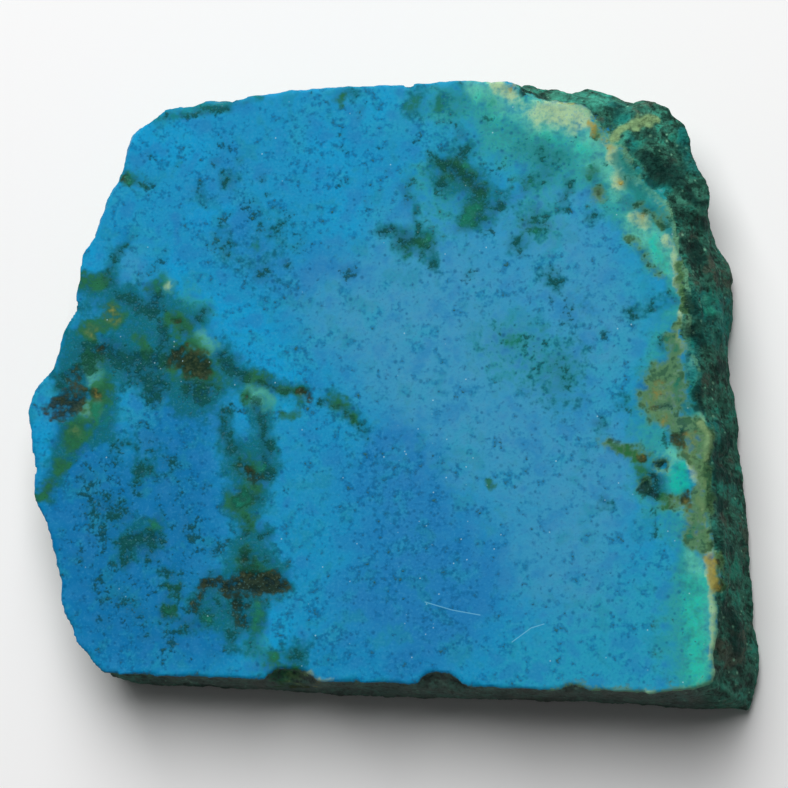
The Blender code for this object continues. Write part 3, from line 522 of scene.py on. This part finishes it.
        (1.0, (375, 615, 12), (425, 630, 14)), (1.0, (660, 466, 7)), (1.0, (646, 487, 7)),
        (0.7, (410, 430, 50), (440, 560, 50)), (0.9, (190, 362, 14), (207, 378, 12)), (0.9, (215, 608, 10)),
        (0.6, (225, 365, 14), (195, 392, 16)), (0.5, (140, 365, 16)),
    ],
}

# The corners of two hair scratches on the face, as picture points.
SCRATCHES = [[(425, 602), (452, 610), (480, 615)], [(512, 642), (531, 628), (544, 624)]]
SCRATCH_WIDTH = 0.05


# ---- the camera and the studio ----

def camera_axes():
    """The camera's place and its right, up and forward directions."""
    back = Vector((math.tan(LEAN_EAST), -math.tan(LEAN_SOUTH), 1.0)).normalized()
    right = (-back).cross(Vector((0.0, 1.0, 0.0))).normalized()
    up = right.cross(-back)
    return LOOK_AT + back * CAMERA_DISTANCE, right, up, -back


def picture_places(points):
    """Where points of the scene fall in the picture, in picture points across and down."""
    place, right, up, forward = (np.array(axis) for axis in camera_axes())
    seen = (points - place) @ np.array([right, up, forward]).T
    across = PICTURE / 2 + FOCAL_POINTS * seen[:, 0] / seen[:, 2]
    down = PICTURE / 2 - FOCAL_POINTS * seen[:, 1] / seen[:, 2]
    return np.stack([across, down], axis=1)


def face_height(x, y):
    return FACE_HEIGHT + FACE_RISE_EAST * x + FACE_RISE_NORTH * y


def face_place(across, down):
    """The point of the sawn face that shows at a place in the picture."""
    place, right, up, forward = camera_axes()
    across = (across - PICTURE / 2) / FOCAL_POINTS
    down = (down - PICTURE / 2) / FOCAL_POINTS
    ray = forward + right * across - up * down
    above = place.z - face_height(place.x, place.y)
    return place + ray * (above / (FACE_RISE_EAST * ray.x + FACE_RISE_NORTH * ray.y - ray.z))


def make_camera():
    place, right, up, forward = camera_axes()
    data = bpy.data.cameras.new("camera")
    data.sensor_fit = "HORIZONTAL"
    data.angle = 2 * math.atan(PICTURE / 2 / FOCAL_POINTS)
    data.clip_start = 10 * MM
    camera = bpy.data.objects.new("camera", data)
    turn = Matrix((right, up, -forward)).transposed().to_4x4()
    camera.matrix_world = Matrix.Translation(place * MM) @ turn
    bpy.context.scene.collection.objects.link(camera)
    bpy.context.scene.camera = camera


def make_floor():
    half, low = FLOOR_SIDE / 2 * MM, -FLOOR_DROP * MM
    mesh = bpy.data.meshes.new("floor")
    corners = [(-half, -half, low), (half, -half, low), (half, half, low), (-half, half, low)]
    mesh.from_pydata(corners, [], [(0, 1, 2, 3)])
    floor = bpy.data.objects.new("floor", mesh)
    bpy.context.scene.collection.objects.link(floor)
    material = bpy.data.materials.new("pale_floor")
    material.use_nodes = True
    shader = material.node_tree.nodes["Principled BSDF"]
    shader.inputs["Base Color"].default_value = (FLOOR_PALENESS,) * 3 + (1,)
    shader.inputs["Roughness"].default_value = 0.9
    shader.inputs["Specular IOR Level"].default_value = 0.1
    mesh.materials.append(material)


def make_light():
    """A soft white panel to the north, above the stone."""
    data = bpy.data.lights.new("softbox", "AREA")
    data.shape = "RECTANGLE"
    data.size, data.size_y = LIGHT_SIZE
    data.energy = LIGHT_POWER
    light = bpy.data.objects.new("softbox", data)
    towards = Vector(LIGHT_WAY).normalized()
    light.location = towards * LIGHT_DISTANCE
    light.rotation_euler = towards.to_track_quat("Z", "Y").to_euler()
    bpy.context.scene.collection.objects.link(light)


def make_sky():
    """A little even light from all round."""
    world = bpy.data.worlds.new("studio")
    world.use_nodes = True
    background = world.node_tree.nodes["Background"]
    background.inputs["Color"].default_value = (1, 1, 1, 1)
    background.inputs["Strength"].default_value = SKY_STRENGTH
    bpy.context.scene.world = world
    bpy.context.scene.view_settings.view_transform = "Standard"


# ---- reading and writing a mesh ----

def read_vertices(mesh, name):
    """The three numbers that this property of the mesh has at each point."""
    values = np.empty(len(mesh.vertices) * 3)
    mesh.vertices.foreach_get(name, values)
    return values.reshape(-1, 3)


def read_points(mesh):
    return read_vertices(mesh, "co") / MM


def read_edges(mesh):
    values = np.empty(len(mesh.edges) * 2, dtype=int)
    mesh.edges.foreach_get("vertices", values)
    return values.reshape(-1, 2)


def write_points(mesh, points):
    mesh.vertices.foreach_set("co", (points * MM).ravel())
    mesh.update()


def write_attribute(mesh, name, values):
    attribute = mesh.attributes.new(name, "FLOAT", "POINT")
    attribute.data.foreach_set("value", values.astype(np.float32))


# ---- the fine mesh ----

def remeshed(node):
    """A dense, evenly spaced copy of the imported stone."""
    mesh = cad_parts[node].data.copy()
    bm = bmesh.new()
    bm.from_mesh(mesh)
    bmesh.ops.remove_doubles(bm, verts=bm.verts, dist=WELD * MM)
    bm.to_mesh(mesh)
    bm.free()
    stone = bpy.data.objects.new("turquoise", mesh)
    bpy.context.scene.collection.objects.link(stone)
    remesh = stone.modifiers.new("grain", "REMESH")
    remesh.mode = "VOXEL"
    remesh.voxel_size = GRAIN_SIZE * MM
    remesh.use_smooth_shade = True
    bpy.context.view_layer.update()
    dense = bpy.data.meshes.new_from_object(stone.evaluated_get(bpy.context.evaluated_depsgraph_get()))
    stone.modifiers.clear()
    stone.data = dense
    return stone


def close_underside(mesh):
    """Puts one flat face in place of the underside's many."""
    bm = bmesh.new()
    bm.from_mesh(mesh)
    low = [face for face in bm.faces if all(vert.co.z < FLAT_LIMIT * MM for vert in face.verts)]
    bmesh.ops.delete(bm, geom=low, context="FACES")
    border = [edge for edge in bm.edges if edge.is_boundary]
    bmesh.ops.contextual_create(bm, geom=border)
    bm.to_mesh(mesh)
    bm.free()


def neighbour_mean(values, edges):
    """The mean of each point's neighbours."""
    starts = np.concatenate([edges[:, 0], edges[:, 1]])
    ends = np.concatenate([edges[:, 1], edges[:, 0]])
    count = np.bincount(starts, minlength=len(values)).clip(1)
    columns = [np.bincount(starts, column[ends], len(values)) / count for column in values.T]
    return np.stack(columns, axis=1)


def wave(points, size):
    """Smooth noise of this size at each point, about -1 to 1."""
    return np.array([noise.noise(Vector(point) / size) for point in points])


def wave_vectors(points, size):
    return np.array([noise.noise_vector(Vector(point) / size) for point in points])


def fractures(points, size, slope):
    """Small breaks: planes leaning their own ways, one in each of the stone's grains of this size."""
    heights = []
    for point in points:
        point = Vector(point)
        distances, grains = noise.voronoi(point / size)
        grain = grains[0] * size
        lean = noise.noise_vector(grain * LEAN_SCATTER).normalized()
        fade = min(1.0, (distances[1] - distances[0]) / BREAK_EDGE)
        heights.append(slope * fade * (point - grain).dot(lean))
    return np.array(heights)


def ramp(values, low, high):
    """Rises smoothly from 0 to 1 while the values go from low to high."""
    share = ((values - low) / (high - low)).clip(0, 1)
    return share * share * (3 - 2 * share)


def along_line(places, start, end):
    """How far along a line each place lies, as a share of its length, and how far from the line."""
    start, way = np.array(start), np.subtract(end, start)
    share = ((places - start) @ way / max(way @ way, 1e-9)).clip(0, 1)
    return share, np.linalg.norm(places - start - share[:, None] * way, axis=1)


def outline_shift(points):
    """How far each point moves in plan for the outline to follow the photo's."""
    places = picture_places(points)
    moves = np.zeros_like(points)
    for outward, start, end in OUTLINE_SHIFTS:
        _, away = along_line(places, start, end)
        across, down = (np.add(start, end) - PICTURE) / 2
        outwards = np.array([across, -down]) / math.hypot(across, down)
        moves[:, :2] += outward * np.exp(-(away / SHIFT_REACH) ** 2)[:, None] * outwards
    return moves


def depths(points):
    return face_height(points[:, 0], points[:, 1]) - points[:, 2]


def kept_in(points):
    """The points, none of them under the floor or over the face."""
    points[:, 2] = points[:, 2].clip(0.0, face_height(points[:, 0], points[:, 1]))
    return points


def smoothed(points, normals, edges):
    """The points with a flat face, a flat underside and no facets on the sides, and which are the sides'."""
    above = face_height(points[:, 0], points[:, 1])
    on_face = (abs(points[:, 2] - above) < FACE_TOLERANCE) & (normals[:, 2] > UPRIGHT)
    on_floor = (points[:, 2] < FLOOR_TOLERANCE) & (normals[:, 2] < -UPRIGHT)
    points[on_face, 2] = above[on_face]
    points[on_floor, 2] = 0.0
    sides = ~(on_face | on_floor)
    for step in MELT_STEPS:
        points[sides] += step * (neighbour_mean(points, edges) - points)[sides]
    points += outline_shift(points)
    points[on_face, 2] = face_height(points[on_face, 0], points[on_face, 1])
    return points, sides


def roughened(points, normals, sides):
    """The points with the rind's lumps and fractures on the sides, and with nicks along the rim."""
    depth = depths(points)
    weight = ramp(depth, 0.0, RIM_FADE) * ramp(points[:, 2], *FOOT_FADE)
    rough = np.flatnonzero(sides & (weight > 0))
    places = points[rough]
    height = sum(tall * wave(places, size) for size, tall in GRAINS)
    height += sum(fractures(places, size, slope) for size, slope in BREAKS)
    points[rough] += normals[rough] * (weight[rough] * height)[:, None]

    near_rim = np.flatnonzero((depth < RAG_FADE[1]) & sides)
    flat = normals[near_rim] * (1, 1, 0)
    rag = sum(wide * wave(points[near_rim], size) for size, wide in RIM_RAG)
    points[near_rim] += flat * (rag * (1 - ramp(depth[near_rim], *RAG_FADE)))[:, None]
    return kept_in(points)


def pitted(points, covers):
    """The points with the dark veins a little sunk into the face."""
    on_face = np.flatnonzero(depths(points) < VEIN_LIMIT)
    pits = wave(points[on_face], PIT_SIZE) - PIT_LEVEL
    for paint, deep in VEIN_DEPTHS.items():
        points[on_face, 2] += deep * covers[paint][on_face] * pits
    return kept_in(points)


def make_stone(node):
    stone = remeshed(node)
    mesh = stone.data
    points, sides = smoothed(read_points(mesh), read_vertices(mesh, "normal"), read_edges(mesh))
    write_points(mesh, points)
    write_points(mesh, roughened(points, read_vertices(mesh, "normal"), sides))
    close_underside(mesh)
    covers = paint_marks(mesh)
    write_points(mesh, pitted(read_points(mesh), covers))
    return stone


# ---- the markings ----

def stroke_cover(places, stroke, spread):
    """How strongly a brush stroke covers each place: a soft bell, half as strong at its half width."""
    strength, *path = stroke
    if len(path) == 1:
        path = path * 2
    cover = np.zeros(len(places))
    for (*start, start_width), (*end, end_width) in zip(path, path[1:]):
        reach = STROKE_REACH * spread * max(start_width, end_width)
        inside = (places > np.minimum(start, end) - reach) & (places < np.maximum(start, end) + reach)
        near = np.flatnonzero(inside.all(axis=1))
        share, distance = along_line(places[near], start, end)
        away = distance / (STROKE_REACH * spread * (start_width + (end_width - start_width) * share))
        cover[near] = np.maximum(cover[near], (1 - away ** 2).clip(0, 1) ** 2)
    return cover * strength


def mark_places(points, normals):
    """Where in the picture each point takes its markings from: where it shows, but for a small wander."""
    place, *_ = camera_axes()
    to_camera = np.array(place) - points
    to_camera /= np.linalg.norm(to_camera, axis=1)[:, None]
    facing = ramp((to_camera * normals).sum(axis=1), *AWAY)[:, None]
    lifted = points.copy()
    lifted[:, 2] = face_height(points[:, 0], points[:, 1])
    # On the sides that face away, a marking goes on straight down from the rim.
    warped = points * facing + lifted * (1 - facing)
    for size, wide in WARPS:
        warped = warped + wide * wave_vectors(points, size)
    return picture_places(warped)


def rim_margin(points):
    """How near each point is to the rim in the north-east, the east and the south-east."""
    depth = depths(points)
    off_face = points[depth > VEIN_LIMIT]
    tree = KDTree(len(off_face))
    for number, point in enumerate(off_face):
        tree.insert(Vector(point), number)
    tree.balance()
    margin = np.zeros(len(points))
    eastern = np.flatnonzero((points[:, 0] > MARGIN_EAST[0]) & (depth < MARGIN_DEPTH))
    margin[eastern] = [math.exp(-tree.find(Vector(point))[2] / MARGIN_WIDTH) for point in points[eastern]]
    return margin * ramp(points[:, 0], *MARGIN_EAST)


def rind_start(points, normals):
    """How deep the rind starts: near the rim in the east and south, lower in the north and west."""
    outward = normals[:, :2] / np.linalg.norm(normals[:, :2], axis=1).clip(0.05)[:, None]
    hidden = ramp(outward @ np.array(HIDDEN_WAY), 0.0, 0.5)
    drop = (HIDDEN_DROP + HIDDEN_SWING * wave(points, HIDDEN_WAVE)).clip(HIDDEN_LEAST)
    return RIND_START + hidden * drop


def paint_marks(mesh):
    """Stores at each point of the mesh how strongly each paint covers it, and returns that."""
    points = read_points(mesh)
    normals = read_vertices(mesh, "normal")
    places = mark_places(points, normals)
    covers = {}
    for paint, strokes in MARKS.items():
        cover = np.zeros(len(points))
        for stroke in strokes:
            cover = 1 - (1 - cover) * (1 - stroke_cover(places, stroke, SPREAD.get(paint, 1.0)))
        write_attribute(mesh, paint, cover * ramp(points[:, 2], 0.0, FOOT_CLEAR))
        covers[paint] = cover
    # The margin and the rind have places of their own.
    write_attribute(mesh, "margin", rim_margin(points))
    write_attribute(mesh, "rind_start", rind_start(points, normals))
    return covers


# ---- the stone's material ----

def linear(red, green, blue):
    """A colour as the eye sees it, turned into light."""
    return tuple((value / 255) ** 2.2 for value in (red, green, blue)) + (1.0,)


class Shading:
    """Adds nodes to a material. Sizes are in millimetres."""

    def __init__(self, material):
        material.use_nodes = True
        self.tree = material.node_tree
        self.shader = self.tree.nodes["Principled BSDF"]
        place = self.add("ShaderNodeTexCoord", {}).outputs["Object"]
        self.place = self.vector("MULTIPLY", place, (1 / MM, 1 / MM, SQUEEZE / MM))

    def add(self, kind, inputs, **settings):
        node = self.tree.nodes.new(kind)
        for name, value in settings.items():
            setattr(node, name, value)
        for socket, value in inputs.items():
            if isinstance(value, bpy.types.NodeSocket):
                self.tree.links.new(value, node.inputs[socket])
            else:
                node.inputs[socket].default_value = value
        return node

    def math(self, operation, *values):
        return self.add("ShaderNodeMath", dict(enumerate(values)), operation=operation).outputs[0]

    def vector(self, operation, *values, output="Vector"):
        node = self.add("ShaderNodeVectorMath", dict(enumerate(values)), operation=operation)
        return node.outputs[output]

    def sum(self, *values):
        total = values[0]
        for value in values[1:]:
            total = self.math("ADD", total, value)
        return total

    def times(self, value, factor):
        return self.math("MULTIPLY", value, factor)

    def scaled(self, value, factor, rest):
        """The value times the factor, plus the rest."""
        return self.math("MULTIPLY_ADD", value, factor, rest)

    def larger(self, one, other):
        return self.math("MAXIMUM", one, other)

    def mix(self, share, under, over):
        colours = {"Factor": share, 6: under, 7: over}
        return self.add("ShaderNodeMix", colours, data_type="RGBA").outputs[2]

    def shade(self, vector, amount):
        """A colour made darker or lighter, or a vector made shorter or longer: 1 leaves it as it is."""
        return self.add("ShaderNodeVectorMath", {0: vector, 3: amount}, operation="SCALE").outputs[0]

    def step(self, value, low, high, start=0.0, end=1.0):
        """Goes smoothly from start to end while the value goes from low to high."""
        inputs = {"Value": value, "From Min": low, "From Max": high, "To Min": start, "To Max": end}
        return self.add("ShaderNodeMapRange", inputs, interpolation_type="SMOOTHSTEP").outputs[0]

    def noise(self, size, detail, coarse=0.5, stretch=None):
        """Noise of this size that averages 0 and mostly stays between -2 and 2."""
        place = self.vector("MULTIPLY", self.place, stretch) if stretch else self.place
        inputs = {"Vector": place, "Scale": 1 / size, "Detail": detail, "Roughness": coarse}
        value = self.add("ShaderNodeTexNoise", inputs).outputs["Fac"]
        return self.scaled(value, 10.0, -5.0)

    def cells(self, size):
        """Distance to the middle of the nearest grain, as a share of this size, and a random value of it."""
        node = self.add("ShaderNodeTexVoronoi", {"Vector": self.place, "Scale": 1 / size})
        random = self.add("ShaderNodeSeparateColor", {0: node.outputs["Color"]}).outputs[0]
        return node.outputs["Distance"], random

    def field(self, name):
        """An attribute of the mesh."""
        return self.add("ShaderNodeAttribute", {}, attribute_name=name).outputs["Fac"]

    def dots(self, size, radius, density):
        """Scattered round dots: one in each grain of this size whose random value is under the density."""
        distance, chance = self.cells(size)
        dot = self.step(distance, radius * 0.3, radius * 1.6, 1.0, 0.0)
        return self.times(dot, self.math("LESS_THAN", chance, density))

    def line(self, start, end, width):
        """A straight line on the face between two points."""
        flat = self.vector("MULTIPLY", self.place, (1, 1, 0))
        start, way = Vector((start.x, start.y, 0)), Vector((end.x - start.x, end.y - start.y, 0))
        from_start = self.vector("SUBTRACT", flat, start)
        along = self.vector("DOT_PRODUCT", from_start, way / way.length_squared, output="Value")
        share = self.math("MINIMUM", self.larger(along, 0.0), 1.0)
        distance = self.vector("DISTANCE", from_start, self.shade(way, share), output="Value")
        return self.step(distance, width * 0.4, width, 1.0, 0.0)


class StoneShading(Shading):
    """What the stone's layers share: its paints, its noises, and where its flecks, rind and grains lie."""

    def __init__(self, material):
        super().__init__(material)
        self.paint = {name: linear(*colour) for name, colour in (PAINT | TINTS).items()}
        self.grit = self.noise(0.20, 1.0)
        self.grain = self.noise(0.48, 1.5)
        self.patch = self.noise(1.2, 2.0)
        self.veil = self.noise(1.9, 2.0)
        self.cloud = self.noise(3.4, 3.0, 0.6)
        self.lump = self.noise(0.75, 2.5, 0.6, (1, 1, 0.6))
        self.vein = self.noise(2.2, 2.5, 0.6, (1, 1, 0.6))
        self.mottle = self.blend(grit=0.5, grain=0.65, patch=0.5)
        self.wander = self.blend(grit=0.15, grain=0.5, patch=0.7)
        self.east, self.north, up = self.add("ShaderNodeSeparateXYZ", {0: self.place}).outputs
        rise_east = self.times(self.east, FACE_RISE_EAST)
        rise_north = self.times(self.north, FACE_RISE_NORTH)
        face = self.sum(rise_east, rise_north, FACE_HEIGHT)
        self.depth = self.math("SUBTRACT", face, self.times(up, 1 / SQUEEZE))
        self.pale = self.larger(self.soft("cream", 0.85), self.soft("mint", 0.7))
        self.speckles = self.speckle_cover()
        self.rind = self.rind_cover()
        self.grains = self.flecks(self.field("grains"), 1.0, 1.6, 3.6)
        self.brown = self.soft("brown", 1.0, 0.3, 0.0, 0.8)
        self.glints = self.glint_cover()

    def blend(self, **weights):
        """A sum of the stone's noises, each with its weight."""
        return self.sum(*(self.times(getattr(self, name), weight) for name, weight in weights.items()))

    def soft(self, name, most, rough=0.2, low=0.0, high=0.9):
        """A stain's cover: cloudy, with borders that fade out."""
        inside = self.step(self.field(name), 0.0, 0.25, 0.0, rough)
        return self.step(self.scaled(self.wander, inside, self.field(name)), low, high, 0.0, most)

    def flecks(self, density, most, low, high):
        """Grains' cover: none at density 0, scattered flecks between, and nearly all at 1."""
        return self.step(self.scaled(density, 3.6, self.mottle), low, high, 0.0, most)

    def speckle_cover(self):
        """Fine dark flecks and dots all over, thicker in the dotted zones."""
        density = self.scaled(self.field("speckle"), 0.20, self.scaled(self.cloud, 0.05, 0.22))
        chance = self.scaled(self.field("speckle"), 0.45, self.scaled(self.cloud, 0.10, 0.22))
        dots = self.larger(self.dots(0.85, 0.17, chance), self.dots(0.55, 0.20, self.times(chance, 0.6)))
        return self.larger(self.flecks(density, 0.9, 1.2, 3.9), dots)

    def rind_cover(self):
        """Rind lies on the sides, below its start, and on the shoulder, but not on pale stains by the rim."""
        below = self.math("SUBTRACT", self.depth, self.field("rind_start"))
        sides = self.step(self.scaled(self.mottle, 0.05, below), -0.06, 0.12)
        painted = self.step(self.scaled(self.mottle, 0.13, self.field("rind")), 0.28, 0.62)
        bare = self.times(self.pale, self.step(self.depth, 0.15, 0.45, 1.0, 0.0))
        return self.times(self.larger(sides, painted), self.math("SUBTRACT", 1.0, bare))

    def glint_cover(self):
        """Tiny glints on the face, painted as white highlights."""
        on_face = self.step(self.depth, 0.05, 0.15, 1.0, 0.0)
        return self.dots(0.50, 0.10, self.times(self.scaled(self.field("sparkle"), 0.40, 0.05), on_face))

    def coat(self, colour, name, share):
        """The colour with this share of a paint over it."""
        return self.mix(share, colour, self.paint[name])

    def stain(self, colour, name, *cover):
        """The colour with a cloudy stain over it."""
        return self.coat(colour, name, self.soft(name, *cover))


def blue_ground(at):
    """The blue, with its soft tints and its mottling. The lighter, greyer sheen tint is a painted reflection
    of the lamp, and the dust tint is partly one.
    """
    colour = at.paint["blue"]
    for name, most in (("turquoise", 0.8), ("painted_sheen", 0.8), ("violet", 0.85), ("deep", 0.9), ("bright", 0.9)):
        share = at.scaled(at.patch, 0.06, at.scaled(at.cloud, 0.08, at.field(name)))
        colour = at.coat(colour, name, at.step(share, 0.1, 0.95, 0.0, most))
    colour = at.coat(colour, "turquoise", at.step(at.blend(cloud=1, patch=0.6), 0.0, 2.2, 0.0, 0.5))
    colour = at.coat(colour, "lagoon", at.step(at.blend(veil=1, grain=0.3), 0.3, 1.9, 0.0, 0.45))
    colour = at.coat(colour, "violet", at.step(at.blend(veil=1, patch=0.5), -0.2, -2.0, 0.0, 0.5))
    colour = at.coat(colour, "deep", at.step(at.blend(patch=1, grain=1), 0.3, 2.5, 0.0, 0.5))
    # A lighter grey-blue mottling: faint all over, and stronger where the painted sheen lies, where it is
    # painted reflection too.
    dust_and_sheen_share = at.step(at.blend(patch=-0.6, grain=0.5, grit=0.3), -0.8, 1.6)
    return at.coat(colour, "dust_and_sheen", at.times(dust_and_sheen_share, at.scaled(at.field("painted_sheen"), 0.28, 0.05)))


def stained(at, colour):
    """The green and cream stains in the blue."""
    colour = at.stain(colour, "sea", 0.85)
    colour = at.stain(colour, "stain", 0.9, 0.25)
    colour = at.stain(colour, "mint", 0.75, 0.15, 0.0, 1.1)
    colour = at.stain(colour, "jade", 0.9, 0.12)
    return at.stain(colour, "cream", 0.9, 0.2, 0.1, 1.0)


def speckled(at, colour):
    """The dark flecks, fainter where it is pale, and the fine dark and light grit."""
    colour = at.coat(colour, "fleck", at.times(at.speckles, at.scaled(at.pale, -0.5, 0.55)))
    colour = at.coat(colour, "deep", at.step(at.grit, 0.2, 2.4, 0.0, 0.28))
    return at.coat(colour, "pale grit", at.step(at.grit, -0.2, -2.4, 0.0, 0.2))


def rind_colour(at):
    """Dark green grains with brown and teal between them, painted shade in the hollows of the bump, and greyer
    on the south side.
    """
    colour = at.coat(at.paint["rind"], "light rind", at.step(at.cells(0.3)[1], 0.2, 0.9))
    colour = at.coat(colour, "green rind", at.step(at.blend(lump=1, vein=0.6), 0.0, 2.0, 0.0, 0.65))
    colour = at.coat(colour, "dark rind", at.step(at.blend(lump=1, grain=0.4), -0.2, -1.6, 0.0, 0.75))
    colour = at.coat(colour, "brown rind", at.step(at.blend(cloud=1, lump=0.6), 0.4, 1.8, 0.0, 0.75))
    colour = at.coat(colour, "deep rind", at.step(at.vein, -0.4, -1.8, 0.0, 0.5))
    flecks = at.larger(at.dots(0.62, 0.17, 0.25), at.dots(0.40, 0.20, 0.15))
    colour = at.coat(colour, "rind fleck", at.times(flecks, 0.5))
    # Darker where the rind's bump is lowest: painted shade in its small hollows.
    colour = at.coat(colour, "rind pit shade", at.step(at.blend(grit=1, grain=1), -0.6, -2.4, 0.0, 0.5))
    southern = at.step(at.north, -18.6, -20.6, 0.0, 0.7)
    short_of_corner = at.step(at.east, 21.6, 23.6, 1.0, 0.25)
    return at.shade(at.coat(colour, "south rind", at.times(southern, short_of_corner)), RIND_SHADE)


def khaki_colour(at):
    darker = at.step(at.blend(grain=1, patch=1, grit=0.5), -0.4, 2.0)
    colour = at.coat(at.paint["khaki"], "dark khaki", darker)
    return at.coat(colour, "pale khaki", at.step(at.blend(grain=1, patch=0.5), -0.6, -2.0, 0.0, 0.6))


def brown_colour(at):
    colour = at.coat(at.paint["brown"], "pale brown", at.step(at.mottle, -1.0, 2.4, 0.0, 0.6))
    return at.coat(colour, "dark brown", at.step(at.grain, 0.2, -1.8, 0.0, 0.5))


def marked(at, colour):
    """The margin, and the marks that lie on the face and the rind alike."""
    margin = at.step(at.scaled(at.mottle, 0.18, at.field("margin")), 0.25, 0.95, 0.0, 0.6)
    colour = at.coat(colour, "margin", margin)
    broken_up = at.step(at.blend(vein=1, lump=0.7), -1.2, 0.8, 0.35, 1.0)
    colour = at.coat(colour, "teal", at.times(at.soft("teal", 0.8), broken_up))
    # Patina, which on the south-east corner is painted light.
    colour = at.coat(colour, "patina_and_painted_light", at.times(at.soft("patina_and_painted_light", 0.9), broken_up))
    colour = at.mix(at.soft("khaki", 0.92, 0.25, 0.0, 0.8), colour, khaki_colour(at))
    colour = at.stain(colour, "olive", 0.85, 0.25, 0.0, 0.85)
    colour = at.coat(colour, "dusk", at.step(at.field("grains"), 0.05, 0.9, 0.0, 0.3))
    grain_colour = at.coat(at.paint["grain"], "moss", at.step(at.blend(grain=1, patch=0.6), -1.2, 1.2))
    colour = at.mix(at.times(at.grains, 0.66), colour, grain_colour)
    colour = at.mix(at.times(at.brown, 0.9), colour, brown_colour(at))
    colour = at.stain(colour, "ochre", 0.92)
    colour = at.stain(colour, "leaf", 0.7, 0.25)
    # Pale lichen green, which in the notch of the south rim is painted light.
    colour = at.stain(colour, "lichen_and_painted_light", 0.92, 0.18, 0.0, 0.85)
    return at.coat(colour, "black", at.times(at.soft("black", 1.0, 0.2, 0.2, 0.8), 0.8))


def clouded(at, colour):
    """Light and dark clouds over the rind and the markings."""
    cloudy = at.larger(at.rind, at.step(at.sum(*map(at.field, CLOUDED)), 0.1, 0.9))
    tone = at.blend(grit=0.35, grain=0.5, patch=0.5)
    return at.shade(colour, at.scaled(tone, at.times(cloudy, 0.16), 1.0))


def detailed(at, colour):
    """Painted highlights among the dark grains, two hair scratches, and the painted white glints."""
    # Pale specks among the dark grains: painted highlights where light catches them.
    grain_glints = at.times(at.step(at.grit, 0.9, 2.6, 0.0, 0.2), at.step(at.field("grains"), 0.1, 0.8))
    colour = at.coat(colour, "grain_glint", grain_glints)
    hairs = 0.0
    for path in SCRATCHES:
        corners = [face_place(*corner) for corner in path]
        for start, end in zip(corners, corners[1:]):
            hairs = at.larger(at.line(start, end, SCRATCH_WIDTH), hairs)
    colour = at.coat(colour, "hair", at.times(hairs, 0.6))
    return at.coat(colour, "glint", at.times(at.glints, 0.6))


def surface(at):
    """The roughness and the fine relief: broken rind and grains are the roughest."""
    broken = at.larger(at.rind, at.times(at.larger(at.grains, at.brown), 0.6))
    roughness = at.sum(at.step(at.grain, -2.0, 2.0, 0.42, 0.56), at.times(broken, 0.28),
                       at.times(at.speckles, 0.1), at.times(at.glints, -0.3))
    height = at.sum(at.blend(grit=0.0008, patch=0.0015), at.times(at.speckles, -0.008),
                    at.times(broken, at.blend(grit=0.009, grain=0.014)), at.times(at.brown, -0.03))
    bump = at.add("ShaderNodeBump", {"Height": height, "Distance": MM, "Strength": 1.0})
    return roughness, bump.outputs[0]


def turquoise_material():
    material = bpy.data.materials.new("turquoise")
    at = StoneShading(material)
    colour = speckled(at, stained(at, blue_ground(at)))
    colour = at.mix(at.rind, colour, rind_colour(at))
    colour = detailed(at, clouded(at, marked(at, colour)))
    roughness, relief = surface(at)
    for name, value in (("Base Color", colour), ("Roughness", roughness), ("Normal", relief)):
        at.tree.links.new(value, at.shader.inputs[name])
    at.shader.inputs["Specular IOR Level"].default_value = 0.05
    return material


noise.seed_set(NOISE_SEED)
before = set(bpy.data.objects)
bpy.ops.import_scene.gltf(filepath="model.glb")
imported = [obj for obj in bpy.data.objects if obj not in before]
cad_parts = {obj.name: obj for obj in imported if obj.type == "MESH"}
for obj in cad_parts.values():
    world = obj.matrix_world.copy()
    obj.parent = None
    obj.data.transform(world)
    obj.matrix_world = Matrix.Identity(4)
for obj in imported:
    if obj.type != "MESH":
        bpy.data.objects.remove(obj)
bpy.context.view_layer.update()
make_camera()
make_floor()
make_sky()
make_light()

stone = make_stone("turquoise_slab")
stone.data.materials.clear()
stone.data.materials.append(turquoise_material())
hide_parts("turquoise_slab")
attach(stone, "root")
